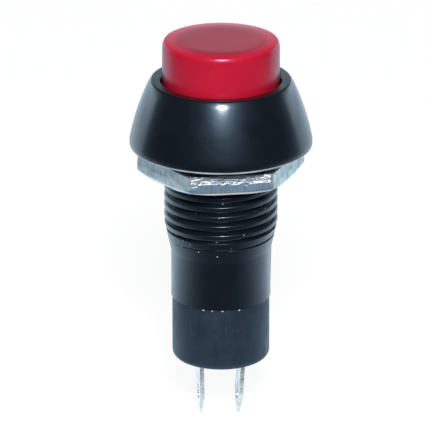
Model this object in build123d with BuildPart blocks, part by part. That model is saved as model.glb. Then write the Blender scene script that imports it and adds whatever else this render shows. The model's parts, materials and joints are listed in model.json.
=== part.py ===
from build123d import *
import os
from math import cos, radians, tan

os.makedirs("parts", exist_ok=True)

# A panel-mounted momentary push button switch: a moulded housing with a conical bezel and a
# threaded barrel, a lower base with two solder terminals, and a sprung cap that carries the
# moving contact. All sizes are in mm. Z = 0 is the underside of the bezel, which seats on the
# front of the panel. +Z points out of the panel and the cap moves down, towards -Z.

# Driving dimensions: cap
cap_diameter = 11.7
cap_height = 6.2
cap_edge_chamfer = 0.35
cap_side_wall = 1.0
cap_top_wall = 1.3
cap_stand = 4.1  # height of the cap above the bezel's rim at rest
cap_clearance = 0.15  # radial gap between cap and bezel
cap_floor_gap = 0.4  # left under the skirt when the cap is fully pressed
press_travel = 2.6

# Driving dimensions: bezel
bezel_diameter = 18.3
bezel_height = 6.9
bezel_foot_land = 0.7
bezel_foot_chamfer = 0.25
bezel_seat_width = 0.35  # the ring of the underside that meets the panel
bezel_relief_depth = 0.3  # the rest of the underside stands clear of the panel
bezel_rim_width = 1.25
bezel_rim_chamfer = 0.6
bezel_mouth_chamfer = 0.15

# Driving dimensions: threaded barrel and upper body
thread_diameter = 11.4
thread_pitch = 1.0
thread_depth = 0.54
thread_full_length = 7.9  # full crest, below the bezel
thread_fade_length = 1.55  # the crest shrinks over this length
thread_fade_depth = 0.32
thread_run_out = 1.0  # from the last crest down to the plain body
thread_angle = 60.0  # between the groove's flanks
thread_start_gap = 0.6  # plain barrel between the bezel and the groove
thread_end_rise = 0.4  # the groove ends this far above the end of the run-out
thread_cutter_margin = 0.1  # the groove's section stands out of the crest
upper_body_diameter = 10.0
upper_body_length = 5.5
upper_body_wall = 1.0
seam_lip = 0.08
seam_lip_height = 0.6

# Driving dimensions: panel nut
nut_across_flats = 14.65
nut_thickness = 2.1
nut_gap = 0.75  # between the bezel's underside and the nut
nut_clearance = 0.08  # the nut's bore clears the thread's crest
nut_bore_chamfer = 0.35
nut_turn = 8.0  # degrees
nut_sheared_height = 1.2  # the smooth part of the punched edge
nut_break_angle = 4.0  # the broken part of the punched edge leans in
nut_corner_angle = 18.0

# Driving dimensions: base and terminals
base_diameter = 9.82
base_length = 6.67
base_edge_chamfer = 0.45
base_wall = 0.9
base_floor = 1.5
spigot_length = 1.4
spigot_wall = 0.7
spigot_clearance = 0.03
pillar_width = 1.6
pillar_depth = 2.6
terminal_spacing = 4.2
terminal_thickness = 0.45
terminal_width = 2.0
terminal_length = 6.35  # below the base
terminal_neck = 0.9  # length of the twisted neck
terminal_eye_diameter = 2.7
terminal_eye_height = 2.35  # from the tip up to the middle of the eye
terminal_tip_diameter = 1.1
terminal_twist = 9.0
terminal_lean_left = 0.5
terminal_lean_right = -4.5
terminal_slot_gap = 0.02
foot_end_margin = 0.05  # the foot reaches this far past the contact
foot_bend_round = 0.3
solder_hole_width = 1.0
solder_hole_length = 1.8

# Driving dimensions: contacts
contact_diameter = 1.6
contact_height = 0.45
contact_shank_diameter = 0.8
contact_shank_gap = 0.02
contact_gap = 0.05  # left between the contacts when the cap is fully pressed
contact_edge_margin = 0.05
disc_thickness = 0.4
disc_dish = 0.45
disc_hub_margin = 0.1  # the hub's underside covers the clip and this much more
disc_clearance = 0.4  # radial gap between the disc and the housing
disc_bore_clearance = 0.1
contact_spring_diameter = 3.6  # middle of the wire
contact_spring_wire = 0.4
contact_spring_length = 3.0
contact_spring_turns = 2.0

# Driving dimensions: plunger, return spring, washer and clip
stem_diameter = 4.0
stem_clearance = 0.075
guide_length = 2.2
tail_diameter = 2.3
tail_end_length = 0.6
tail_end_chamfer = 0.2
flange_thickness = 0.9
flange_overlap = 0.1  # the flange covers the return spring by this much all round
head_diameter = 3.2
head_gap = 0.3
socket_clearance = 0.02
boss_wall = 1.0
return_spring_diameter = 6.2  # middle of the wire
return_spring_wire = 0.6
return_spring_length = 8.9
return_spring_turns = 3.5
wire_sides = 4
spring_pocket_gap = 0.5
spring_end_gap = 0.02
washer_diameter = 6.4
washer_thickness = 0.5
washer_bore_clearance = 0.1
stop_gap = 0.05  # between the stop washer and the guide at rest
clip_diameter = 3.6
clip_thickness = 0.4
clip_groove_depth = 0.3
clip_gap = 0.02
clip_mouth_angle = 70.0

# Radii that several pieces share
cap_radius = cap_diameter / 2
bezel_radius = bezel_diameter / 2
thread_radius = thread_diameter / 2
thread_root_radius = thread_radius - thread_depth
upper_body_radius = upper_body_diameter / 2
chamber_radius = upper_body_radius - upper_body_wall
base_radius = base_diameter / 2
mouth_radius = cap_radius + cap_clearance
rim_radius = mouth_radius + bezel_rim_width
seat_inner_radius = bezel_radius - bezel_foot_chamfer - bezel_seat_width
stem_radius = stem_diameter / 2
guide_radius = stem_radius + stem_clearance
tail_radius = tail_diameter / 2
return_spring_outer_radius = (return_spring_diameter + return_spring_wire) / 2
flange_radius = return_spring_outer_radius + flange_overlap
pocket_radius = return_spring_outer_radius + spring_pocket_gap
disc_radius = chamber_radius - disc_clearance
contact_offset = disc_radius - contact_diameter / 2 - contact_edge_margin
contact_radius = contact_diameter / 2
foot_end = contact_offset + contact_radius + foot_end_margin
terminal_offset = terminal_spacing / 2

# Heights, from the seam between housing and base up to the cap
cap_top_z = bezel_height + cap_stand
cap_skirt_z = cap_top_z - cap_height
cap_ceiling_z = cap_top_z - cap_top_wall
mouth_floor_z = cap_skirt_z - press_travel - cap_floor_gap
thread_fade_z = -thread_full_length - thread_fade_length
thread_end_z = thread_fade_z - thread_run_out
seam_z = thread_end_z - upper_body_length
base_bottom_z = seam_z - base_length
base_floor_z = base_bottom_z + base_floor
deck_z = seam_z + spigot_length
foot_top_z = deck_z + terminal_thickness
contact_top_z = foot_top_z + contact_height
disc_ring_z = contact_top_z + contact_gap + press_travel
disc_hub_z = disc_ring_z + disc_dish
disc_top_z = disc_hub_z + disc_thickness
washer_z = disc_top_z + contact_spring_length
stem_end_z = washer_z + washer_thickness
guide_bottom_z = stem_end_z + stop_gap
guide_top_z = guide_bottom_z + guide_length
flange_z = guide_top_z + return_spring_length
flange_top_z = flange_z + flange_thickness
clip_top_z = disc_hub_z - clip_gap
clip_z = clip_top_z - clip_thickness
nut_top_z = -nut_gap
nut_bottom_z = nut_top_z - nut_thickness


# Housing: bezel, threaded barrel and upper body, moulded in one
groove_bottom_z = thread_end_z + thread_end_rise
groove_length = -thread_start_gap - groove_bottom_z
groove_section_height = thread_depth + thread_cutter_margin
groove_section_half = groove_section_height * tan(radians(thread_angle / 2))
with BuildPart() as housing:
    with BuildSketch(Plane.XY.offset(seam_z)):
        Circle(thread_radius)
    extrude(amount=bezel_foot_land - seam_z)

    # Thread: one V-shaped groove wound up the barrel, right-handed
    with BuildLine(Plane.XY.offset(groove_bottom_z)) as groove_path:
        Helix(thread_pitch, groove_length, thread_root_radius)
    groove_start = groove_path.line @ 0
    groove_plane = Plane(
        origin=groove_start,
        x_dir=(groove_start.X, groove_start.Y, 0),
        z_dir=groove_path.line % 0,
    )
    with BuildSketch(groove_plane):
        with BuildLine():
            Polyline(
                (0, 0),
                (groove_section_height, -groove_section_half),
                (groove_section_height, groove_section_half),
                close=True,
            )
        make_face()
    sweep(path=groove_path.line, is_frenet=True, mode=Mode.SUBTRACT)

    # Below the full crest the barrel is cut back to the fading thread, the plain body and its lip
    with BuildSketch(Plane.XZ):
        with BuildLine():
            Polyline(
                (thread_radius, -thread_full_length),
                (thread_radius - thread_fade_depth, thread_fade_z),
                (upper_body_radius, thread_end_z),
                (upper_body_radius, seam_z + seam_lip_height),
                (upper_body_radius + seam_lip, seam_z + seam_lip_height / 2),
                (upper_body_radius + seam_lip, seam_z),
                (thread_radius + thread_cutter_margin, seam_z),
                (thread_radius + thread_cutter_margin, -thread_full_length),
                close=True,
            )
        make_face()
    revolve(axis=Axis.Z, mode=Mode.SUBTRACT)

    # Bezel: a cone on a short land, relieved underneath so that only its outer ring seats
    with BuildSketch(Plane.XZ) as bezel_outline:
        with BuildLine():
            Polyline(
                (bezel_radius, bezel_foot_land),
                (bezel_radius, 0),
                (seat_inner_radius, 0),
                (seat_inner_radius, bezel_relief_depth),
                (0, bezel_relief_depth),
                (0, bezel_height),
                (rim_radius, bezel_height),
                close=True,
            )
        make_face()
        chamfer(bezel_outline.vertices().group_by(Axis.Y)[-1].sort_by(Axis.X)[-1], bezel_rim_chamfer)
        chamfer(bezel_outline.vertices().group_by(Axis.Y)[0].sort_by(Axis.X)[-1], bezel_foot_chamfer)
    revolve(axis=Axis.Z)

    # Bores: mouth for the cap, pocket for the return spring, guide for the stem, chamber
    with BuildSketch(Plane.XZ):
        with BuildLine():
            Polyline(
                (0, bezel_height),
                (mouth_radius + bezel_mouth_chamfer, bezel_height),
                (mouth_radius, bezel_height - bezel_mouth_chamfer),
                (mouth_radius, mouth_floor_z),
                (pocket_radius, mouth_floor_z),
                (pocket_radius, guide_top_z),
                (guide_radius, guide_top_z),
                (guide_radius, guide_bottom_z),
                (chamber_radius, guide_bottom_z),
                (chamber_radius, seam_z),
                (0, seam_z),
                close=True,
            )
        make_face()
    revolve(axis=Axis.Z, mode=Mode.SUBTRACT)
housing.part.label = "housing"
export_step(housing.part, "parts/housing.step")


# Base: a cup with a spigot that fits the chamber, and two pillars that carry the terminals' feet
spigot_radius = chamber_radius - spigot_clearance
cup_radius = min(base_radius - base_wall, spigot_radius - spigot_wall)
with BuildPart() as terminal_base:
    with BuildSketch(Plane.XY.offset(base_bottom_z)):
        Circle(base_radius)
    extrude(amount=base_length)
    bottom_edge = terminal_base.edges().filter_by(GeomType.CIRCLE).sort_by(Axis.Z)[0]
    chamfer(bottom_edge, base_edge_chamfer)
    with BuildSketch(Plane.XY.offset(seam_z)):
        Circle(spigot_radius)
    extrude(amount=spigot_length)
    with BuildSketch(Plane.XY.offset(base_floor_z)):
        Circle(cup_radius)
    extrude(amount=deck_z - base_floor_z, mode=Mode.SUBTRACT)
    with BuildSketch(Plane.XY.offset(base_floor_z)):
        with Locations((terminal_offset, 0), (-terminal_offset, 0)):
            Rectangle(pillar_width, pillar_depth)
    extrude(amount=deck_z - base_floor_z)
    with BuildSketch(Plane.XY.offset(base_bottom_z)):
        with Locations((terminal_offset, 0), (-terminal_offset, 0)):
            Rectangle(terminal_thickness + 2 * terminal_slot_gap, terminal_width + 2 * terminal_slot_gap)
    extrude(amount=deck_z - base_bottom_z, mode=Mode.SUBTRACT)
terminal_base.part.label = "terminal_base"
export_step(terminal_base.part, "parts/terminal_base.step")


def solder_terminal(side, lean):
    """A stamped blade: a foot under the fixed contact, a leg through the base, a twisted neck and an eye."""
    inner_x = side * (terminal_offset - terminal_thickness / 2)
    outer_x = side * (terminal_offset + terminal_thickness / 2)
    blade_length = terminal_length - terminal_neck
    eye_y = terminal_eye_height - blade_length
    tip_y = terminal_tip_diameter / 2 - blade_length
    # The blade's flat faces look along this direction, turned by the twist and tipped by the lean
    face_dir = Vector(1, 0, 0).rotate(Axis.Y, -lean).rotate(Axis.Z, terminal_twist)
    blade_plane = Plane(
        origin=(side * terminal_offset, 0, base_bottom_z - terminal_neck),
        x_dir=Vector(0, 1, 0).rotate(Axis.Z, terminal_twist),
        z_dir=face_dir,
    )
    with BuildPart() as terminal:
        # Foot and leg, bent from one strip
        with BuildSketch(Plane.XZ):
            with BuildLine():
                FilletPolyline(
                    (side * foot_end, foot_top_z),
                    (inner_x, foot_top_z),
                    (inner_x, base_bottom_z),
                    radius=foot_bend_round,
                )
                Polyline(
                    (inner_x, base_bottom_z),
                    (outer_x, base_bottom_z),
                    (outer_x, deck_z),
                    (side * foot_end, deck_z),
                    (side * foot_end, foot_top_z),
                )
            make_face()
        extrude(amount=terminal_width / 2, both=True)
        with BuildSketch(Plane.XY.offset(deck_z)):
            with Locations((side * contact_offset, 0)):
                Circle(contact_shank_diameter / 2 + contact_shank_gap)
        extrude(amount=terminal_thickness, mode=Mode.SUBTRACT)
        # Neck: the blade turns a little just under the base, which locks it in its slot
        with BuildSketch(Plane.XY.offset(base_bottom_z)):
            with Locations((side * terminal_offset, 0)):
                Rectangle(terminal_thickness, terminal_width)
        with BuildSketch(Plane(blade_plane.origin, x_dir=face_dir, z_dir=blade_plane.y_dir)):
            Rectangle(terminal_thickness, terminal_width)
        loft(ruled=True)
        # Blade with the solder eye
        with BuildSketch(blade_plane):
            Rectangle(terminal_width, terminal_thickness, align=(Align.CENTER, Align.MAX))
            with Locations((0, eye_y)):
                Circle(terminal_eye_diameter / 2)
            with Locations((0, tip_y)):
                Circle(terminal_tip_diameter / 2)
            make_hull()
            with Locations((0, eye_y)):
                SlotOverall(solder_hole_length, solder_hole_width, rotation=90, mode=Mode.SUBTRACT)
        extrude(amount=terminal_thickness / 2, both=True)
    return terminal


terminal_left = solder_terminal(-1, terminal_lean_left)
terminal_left.part.label = "terminal_left"
export_step(terminal_left.part, "parts/terminal_left.step")

terminal_right = solder_terminal(1, terminal_lean_right)
terminal_right.part.label = "terminal_right"
export_step(terminal_right.part, "parts/terminal_right.step")


def fixed_contact(side):
    """A rivet whose shank fills the hole in the terminal's foot."""
    with BuildPart() as contact:
        with BuildSketch(Plane.XY.offset(foot_top_z)):
            with Locations((side * contact_offset, 0)):
                Circle(contact_radius)
        extrude(amount=contact_height)
        with BuildSketch(Plane.XY.offset(deck_z)):
            with Locations((side * contact_offset, 0)):
                Circle(contact_shank_diameter / 2)
        extrude(amount=terminal_thickness)
    return contact


fixed_contact_left = fixed_contact(-1)
fixed_contact_left.part.label = "fixed_contact_left"
export_step(fixed_contact_left.part, "parts/fixed_contact_left.step")

fixed_contact_right = fixed_contact(1)
fixed_contact_right.part.label = "fixed_contact_right"
export_step(fixed_contact_right.part, "parts/fixed_contact_right.step")


# Panel nut: punched from plate, so its edge is smooth below and broken above
nut_sides = 6
nut_flat_radius = nut_across_flats / 2
nut_corner_depth = nut_flat_radius / cos(radians(180 / nut_sides)) - nut_flat_radius
nut_bore_radius = thread_radius + nut_clearance
radius_match = 0.001  # an edge within this of the bore's radius is the bore's own
with BuildPart() as panel_nut:
    with BuildSketch(Plane.XY.offset(nut_bottom_z)):
        RegularPolygon(nut_flat_radius, nut_sides, major_radius=False, rotation=nut_turn)
    extrude(amount=nut_sheared_height)
    with BuildSketch(Plane.XY.offset(nut_bottom_z + nut_sheared_height)):
        RegularPolygon(nut_flat_radius, nut_sides, major_radius=False, rotation=nut_turn)
    extrude(amount=nut_thickness - nut_sheared_height, taper=nut_break_angle)
    # The lower corners are rounded off by a cone that starts at the flats
    with BuildSketch(Plane.XZ):
        with BuildLine():
            Polyline(
                (nut_flat_radius, nut_bottom_z),
                (nut_flat_radius + 2 * nut_corner_depth, nut_bottom_z),
                (
                    nut_flat_radius + 2 * nut_corner_depth,
                    nut_bottom_z + 2 * nut_corner_depth * tan(radians(nut_corner_angle)),
                ),
                close=True,
            )
        make_face()
    revolve(axis=Axis.Z, mode=Mode.SUBTRACT)
    with BuildSketch(Plane.XY.offset(nut_bottom_z)):
        Circle(nut_bore_radius)
    extrude(amount=nut_thickness, mode=Mode.SUBTRACT)
    bore_edges = panel_nut.edges().filter_by(
        lambda edge: edge.geom_type == GeomType.CIRCLE and abs(edge.radius - nut_bore_radius) < radius_match
    )
    chamfer(bore_edges, nut_bore_chamfer)
panel_nut.part.label = "panel_nut"
export_step(panel_nut.part, "parts/panel_nut.step")


# Cap: a hollow moulding with a boss that takes the plunger's head
with BuildPart() as button_cap:
    with BuildSketch(Plane.XY.offset(cap_skirt_z)):
        Circle(cap_radius)
    extrude(amount=cap_height)
    chamfer(button_cap.edges().filter_by(GeomType.CIRCLE).sort_by(Axis.Z)[-1], cap_edge_chamfer)
    with BuildSketch(Plane.XY.offset(cap_skirt_z)):
        Circle(cap_radius - cap_side_wall)
    extrude(amount=cap_height - cap_top_wall, mode=Mode.SUBTRACT)
    with BuildSketch(Plane.XY.offset(flange_top_z)):
        Circle(head_diameter / 2 + socket_clearance + boss_wall)
    extrude(amount=cap_ceiling_z - flange_top_z)
    with BuildSketch(Plane.XY.offset(flange_top_z)):
        Circle(head_diameter / 2 + socket_clearance)
    extrude(amount=cap_ceiling_z - flange_top_z, mode=Mode.SUBTRACT)
button_cap.part.label = "button_cap"
export_step(button_cap.part, "parts/button_cap.step")


# Plunger: head in the cap's boss, flange over the return spring, stem in the guide, tail below
with BuildPart() as plunger:
    with BuildSketch(Plane.XZ):
        with BuildLine():
            Polyline(
                (0, cap_ceiling_z - head_gap),
                (head_diameter / 2, cap_ceiling_z - head_gap),
                (head_diameter / 2, flange_top_z),
                (flange_radius, flange_top_z),
                (flange_radius, flange_z),
                (stem_radius, flange_z),
                (stem_radius, stem_end_z),
                (tail_radius, stem_end_z),
                (tail_radius, clip_top_z),
                (tail_radius - clip_groove_depth, clip_top_z),
                (tail_radius - clip_groove_depth, clip_z),
                (tail_radius, clip_z),
                (tail_radius, clip_z - tail_end_length + tail_end_chamfer),
                (tail_radius - tail_end_chamfer, clip_z - tail_end_length),
                (0, clip_z - tail_end_length),
                close=True,
            )
        make_face()
    revolve(axis=Axis.Z)
plunger.part.label = "plunger"
export_step(plunger.part, "parts/plunger.step")


def ground_spring(mean_diameter, wire_diameter, bottom_z, top_z, turns):
    """A compression spring whose end coils are ground flat. Its wire is drawn with a few flat sides."""
    free_length = top_z - bottom_z
    with BuildPart() as spring:
        with BuildLine(Plane.XY.offset(bottom_z)) as coil:
            Helix(free_length / turns, free_length, mean_diameter / 2)
        coil_start = coil.line @ 0
        wire_plane = Plane(origin=coil_start, x_dir=(coil_start.X, coil_start.Y, 0), z_dir=coil.line % 0)
        with BuildSketch(wire_plane):
            RegularPolygon(wire_diameter / 2, wire_sides)
        sweep(path=coil.line, is_frenet=True)
        with BuildSketch(Plane.XY.offset(bottom_z)):
            Circle(mean_diameter / 2 + wire_diameter)
        extrude(amount=free_length, mode=Mode.INTERSECT)
    return spring


return_spring = ground_spring(
    return_spring_diameter,
    return_spring_wire,
    guide_top_z + spring_end_gap,
    flange_z - spring_end_gap,
    return_spring_turns,
)
return_spring.part.label = "return_spring"
export_step(return_spring.part, "parts/return_spring.step")

contact_spring = ground_spring(
    contact_spring_diameter,
    contact_spring_wire,
    disc_top_z + spring_end_gap,
    washer_z - spring_end_gap,
    contact_spring_turns,
)
contact_spring.part.label = "contact_spring"
export_step(contact_spring.part, "parts/contact_spring.step")


# Stop washer: held under the stem's shoulder, it meets the guide and keeps the cap in
with BuildPart() as stop_washer:
    with BuildSketch(Plane.XY.offset(washer_z)):
        Circle(washer_diameter / 2)
        Circle(tail_radius + washer_bore_clearance, mode=Mode.SUBTRACT)
    extrude(amount=washer_thickness)
stop_washer.part.label = "stop_washer"
export_step(stop_washer.part, "parts/stop_washer.step")


# Contact disc: a dished plate that floats on the tail and bridges the fixed contacts
hub_radius = clip_diameter / 2 + disc_hub_margin
with BuildPart() as contact_disc:
    with BuildSketch(Plane.XZ):
        with BuildLine():
            Polyline(
                (tail_radius + disc_bore_clearance, disc_hub_z),
                (hub_radius, disc_hub_z),
                (hub_radius + disc_dish, disc_ring_z),
                (disc_radius, disc_ring_z),
                (disc_radius, disc_ring_z + disc_thickness),
                (hub_radius + disc_dish, disc_ring_z + disc_thickness),
                (hub_radius, disc_top_z),
                (tail_radius + disc_bore_clearance, disc_top_z),
                close=True,
            )
        make_face()
    revolve(axis=Axis.Z)
contact_disc.part.label = "contact_disc"
export_step(contact_disc.part, "parts/contact_disc.step")


# Retaining clip: an open ring in the tail's groove
clip_mouth_half = clip_diameter * tan(radians(clip_mouth_angle / 2))
with BuildPart() as retaining_clip:
    with BuildSketch(Plane.XY.offset(clip_z)):
        Circle(clip_diameter / 2)
        Circle(tail_radius - clip_groove_depth + clip_gap, mode=Mode.SUBTRACT)
        with BuildLine():
            Polyline((0, 0), (clip_diameter, clip_mouth_half), (clip_diameter, -clip_mouth_half), close=True)
        make_face(mode=Mode.SUBTRACT)
    extrude(amount=clip_thickness)
retaining_clip.part.label = "retaining_clip"
export_step(retaining_clip.part, "parts/retaining_clip.step")
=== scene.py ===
import bpy
import bmesh
import json
from math import atan2, cos, degrees, hypot, pi, radians, sin, tan
from mathutils import Matrix, Vector, noise


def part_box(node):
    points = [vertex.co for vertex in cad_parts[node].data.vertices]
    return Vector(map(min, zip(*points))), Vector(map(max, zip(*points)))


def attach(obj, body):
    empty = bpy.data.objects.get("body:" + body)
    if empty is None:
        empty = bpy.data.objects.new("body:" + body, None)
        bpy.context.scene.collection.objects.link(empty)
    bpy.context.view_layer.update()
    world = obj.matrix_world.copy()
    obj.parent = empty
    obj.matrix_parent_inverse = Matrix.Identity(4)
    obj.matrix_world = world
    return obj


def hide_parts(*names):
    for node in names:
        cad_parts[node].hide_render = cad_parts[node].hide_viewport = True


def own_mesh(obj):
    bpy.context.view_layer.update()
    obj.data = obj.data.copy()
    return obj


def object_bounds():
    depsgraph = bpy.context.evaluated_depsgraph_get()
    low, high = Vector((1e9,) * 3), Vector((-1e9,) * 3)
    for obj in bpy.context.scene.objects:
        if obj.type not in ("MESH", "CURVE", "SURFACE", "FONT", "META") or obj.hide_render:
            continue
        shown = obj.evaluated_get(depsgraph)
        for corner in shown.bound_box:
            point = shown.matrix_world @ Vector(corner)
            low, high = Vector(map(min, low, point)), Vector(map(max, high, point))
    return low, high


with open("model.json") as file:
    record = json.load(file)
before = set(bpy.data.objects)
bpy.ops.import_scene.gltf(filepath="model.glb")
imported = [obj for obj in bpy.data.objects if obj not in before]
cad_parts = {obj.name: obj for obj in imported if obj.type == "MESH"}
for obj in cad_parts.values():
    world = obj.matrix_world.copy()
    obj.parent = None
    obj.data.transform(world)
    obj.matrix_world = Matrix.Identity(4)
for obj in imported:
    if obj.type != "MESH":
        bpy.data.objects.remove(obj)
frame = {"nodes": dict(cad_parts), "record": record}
cadLow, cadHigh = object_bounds()
print("frame loaded:", len(frame["nodes"]), "nodes")

mm = 0.001
roundSteps = 160  # segments round the large turned shapes
tinyGap = 0.0002 * mm  # vertices nearer than this are merged in a finished piece
smallGap = 0.001 * mm  # and nearer than this where rings or loose triangles are joined up


def newPiece(name, bm, material, sharpAngle=35):
    # a finished piece: outward faces, smooth shading that breaks at the sharp edges
    bmesh.ops.remove_doubles(bm, verts=bm.verts, dist=tinyGap)
    bmesh.ops.recalc_face_normals(bm, faces=bm.faces)
    if bm.calc_volume(signed=True) < 0:
        bmesh.ops.reverse_faces(bm, faces=bm.faces)
    mesh = bpy.data.meshes.new(name)
    bm.to_mesh(mesh)
    bm.free()
    mesh.shade_smooth()
    mesh.set_sharp_from_angle(angle=radians(sharpAngle))
    mesh.materials.append(material)
    piece = bpy.data.objects.new(name, mesh)
    bpy.context.scene.collection.objects.link(piece)
    return piece


def standFor(piece, body, slot, *nodes):
    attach(piece, body)
    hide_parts(*nodes)
    print("made", piece.name, "faces:", len(piece.data.polygons))
    return piece


def partWay(value, start, end):
    # 0 at the start, 1 at the end, and held there beyond them; start may be the larger
    return min(1, max(0, (value - start) / (end - start)))


def setRadius(v, radius):
    # moves a vertex straight out from the Z axis, or in towards it
    scale = radius * mm / hypot(v.co.x, v.co.y)
    v.co.x *= scale
    v.co.y *= scale


def roundCorner(centre, radius, startAngle, endAngle, steps):
    # points (radius, height) along an arc of a turned profile, angles in degrees
    turn = [radians(startAngle + (endAngle - startAngle) * i / steps) for i in range(steps + 1)]
    return [(centre[0] + radius * cos(a), centre[1] + radius * sin(a)) for a in turn]


def nextCentre(centre, radius, nextRadius, lean):
    # centre of the arc that goes on from another one where that leans this far, in radians
    reach = radius - nextRadius
    return centre[0] + reach * cos(lean), centre[1] + reach * sin(lean)


def extrudeRing(bm, ring):
    # extrudes a ring of edges in place: its new vertices and edges
    grown = bmesh.ops.extrude_edge_only(bm, edges=ring)["geom"]
    fresh = {v for v in grown if isinstance(v, bmesh.types.BMVert)}
    return fresh, [e for e in grown if isinstance(e, bmesh.types.BMEdge) and set(e.verts) <= fresh]


def growProfile(bm, ring, profile):
    # grows a ring about the Z axis through every (radius, height) of a profile
    for radius, height in profile:
        fresh, ring = extrudeRing(bm, ring)
        for v in fresh:
            setRadius(v, radius)
            v.co.z = height * mm
    return ring


def circleRing(bm, radius, height):
    lifted = Matrix.Translation((0, 0, height * mm))
    made = bmesh.ops.create_circle(bm, segments=roundSteps, radius=radius * mm, matrix=lifted)
    return list({e for v in made["verts"] for e in v.link_edges})


def fillRing(bm, *rings):
    edges = [e for ring in rings for e in ring]
    bmesh.ops.triangle_fill(bm, use_beauty=True, use_dissolve=False, edges=edges)


def cutOff(bm, height, above, near):
    # takes away what lies above a height, or below it
    bmesh.ops.bisect_plane(bm, geom=[*bm.verts, *bm.edges, *bm.faces], dist=near * mm,
                           plane_co=(0, 0, height * mm), plane_no=(0, 0, 1),
                           clear_outer=above, clear_inner=not above)


def ringNoise(angle, height, scale, seed, loop=5.5):
    # smooth noise that closes on itself round a ring, in waves per millimetre
    spot = Vector((cos(angle) * loop, sin(angle) * loop, height)) * scale
    return noise.noise(spot + Vector((seed, seed * 0.7, 0)))


class Signal:
    # wraps one socket, so that node maths reads as plain expressions
    def __init__(self, tree, socket=None):
        self.tree = tree
        self.socket = socket

    def node(self, kind, settings=None, values=None, out=0):
        made = self.tree.nodes.new(kind)
        for key, value in (settings or {}).items():
            setattr(made, key, value)
        for key, value in (values or {}).items():
            if isinstance(value, Signal):
                self.tree.links.new(value.socket, made.inputs[key])
            else:
                made.inputs[key].default_value = value
        return Signal(self.tree, made.outputs[out])

    def outputs(self, *keys):
        # several outputs of the node that this socket belongs to
        return [Signal(self.tree, self.socket.node.outputs[key]) for key in keys]

    def maths(self, operation, *values):
        return self.node("ShaderNodeMath", {"operation": operation}, dict(enumerate(values)))

    def __add__(self, other):
        return self.maths("ADD", self, other)

    __radd__ = __add__

    def __sub__(self, other):
        return self.maths("SUBTRACT", self, other)

    def __rsub__(self, other):
        return self.maths("SUBTRACT", other, self)

    def __mul__(self, other):
        return self.maths("MULTIPLY", self, other)

    __rmul__ = __mul__

    def __truediv__(self, other):
        return self.maths("DIVIDE", self, other)

    def __rtruediv__(self, other):
        return self.maths("DIVIDE", other, self)

    def __abs__(self):
        return self.maths("ABSOLUTE", self)

    def larger(self, other):
        return self.maths("MAXIMUM", self, other)

    def root(self):
        return self.maths("SQRT", self)

    def ramp(self, low, high):
        # 0 at low, 1 at high, smooth between; low may be the larger
        settings = {"interpolation_type": "SMOOTHSTEP"}
        return self.node("ShaderNodeMapRange", settings, {0: self, 1: low, 2: high, 3: 0, 4: 1})

    def mix(self, colourA, colourB):
        # this signal is the factor between two colours
        full = [c if isinstance(c, Signal) else (*c, 1) for c in (colourA, colourB)]
        values = {0: self, 6: full[0], 7: full[1]}
        return self.node("ShaderNodeMix", {"data_type": "RGBA"}, values, out=2)


class Finish:
    # one material: its shader, its place in space and the patterns that it is built from
    def __init__(self, name, **fixed):
        self.material = bpy.data.materials.new(name)
        self.material.use_nodes = True
        self.tree = self.material.node_tree
        self.shader = self.tree.nodes["Principled BSDF"]
        for key, value in fixed.items():
            socket = self.shader.inputs[key.replace("_", " ")]
            socket.default_value = (*value, 1) if isinstance(value, tuple) else value
        self.maker = Signal(self.tree)
        # object coordinates in millimetres
        place = self.maker.node("ShaderNodeTexCoord", out="Object")
        scaled = {0: place, "Scale": 1 / mm}
        self.place = self.maker.node("ShaderNodeVectorMath", {"operation": "SCALE"}, scaled)
        split = self.maker.node("ShaderNodeSeparateXYZ", values={0: self.place})
        self.x, self.y, self.z = split.outputs(0, 1, 2)

    def clouds(self, scale, detail=3, roughness=0.55, where=None):
        values = {"Vector": where or self.place, "Scale": scale, "Detail": detail,
                  "Roughness": roughness}
        return self.maker.node("ShaderNodeTexNoise", values=values)

    def patches(self, scale, span, detail=3, roughness=0.55):
        # clouds with bare places between them; span is where they start and where they are full
        return self.clouds(scale, detail, roughness).ramp(*span)

    def streaks(self, across, along, detail=3, roughness=0.6, turn=(0, 0, 0)):
        # noise drawn out along Z or a turned line, in waves per millimetre across and along it
        turned = [radians(angle) for angle in turn]
        values = {0: self.place, "Scale": (across, across, along), "Rotation": turned}
        where = self.maker.node("ShaderNodeMapping", values=values)
        return self.clouds(1, detail, roughness, where)

    def scratches(self, across, along, turn, threshold, patches, soft=0.05):
        # thin streaks in some places only
        streaks = self.streaks(across, along, 2, 0.5, turn)
        return streaks.ramp(threshold, threshold + soft) * self.patches(*patches)

    def cells(self, scale, out="Distance"):
        values = {"Vector": self.place, "Scale": scale}
        return self.maker.node("ShaderNodeTexVoronoi", values=values, out=out)

    def specks(self, scale, size, chance, core=0.55, soft=0.02):
        # small round grains in a share of the cells
        near = self.cells(scale).ramp(size, size * core)
        return near * self.cells(scale, "Color").ramp(1 - chance, 1 - chance + soft)

    def feed(self, name, signal):
        self.tree.links.new(signal.socket, self.shader.inputs[name])

    def bumps(self, height):
        # the real height of the relief, in millimetres
        values = {"Height": height, "Distance": mm}
        self.feed("Normal", self.maker.node("ShaderNodeBump", values=values))
        return self.material


# In the looks, a pair is where something starts to show and where it is full. Clouds are a scale,
# a detail and a roughness, and patches have such a pair after the scale. Streaks are the waves
# across and along them, and scratches have a turn in degrees, a threshold and patches as well.
# "roughness" and "relief" say what each pattern adds, and the relief is in millimetres.

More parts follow.
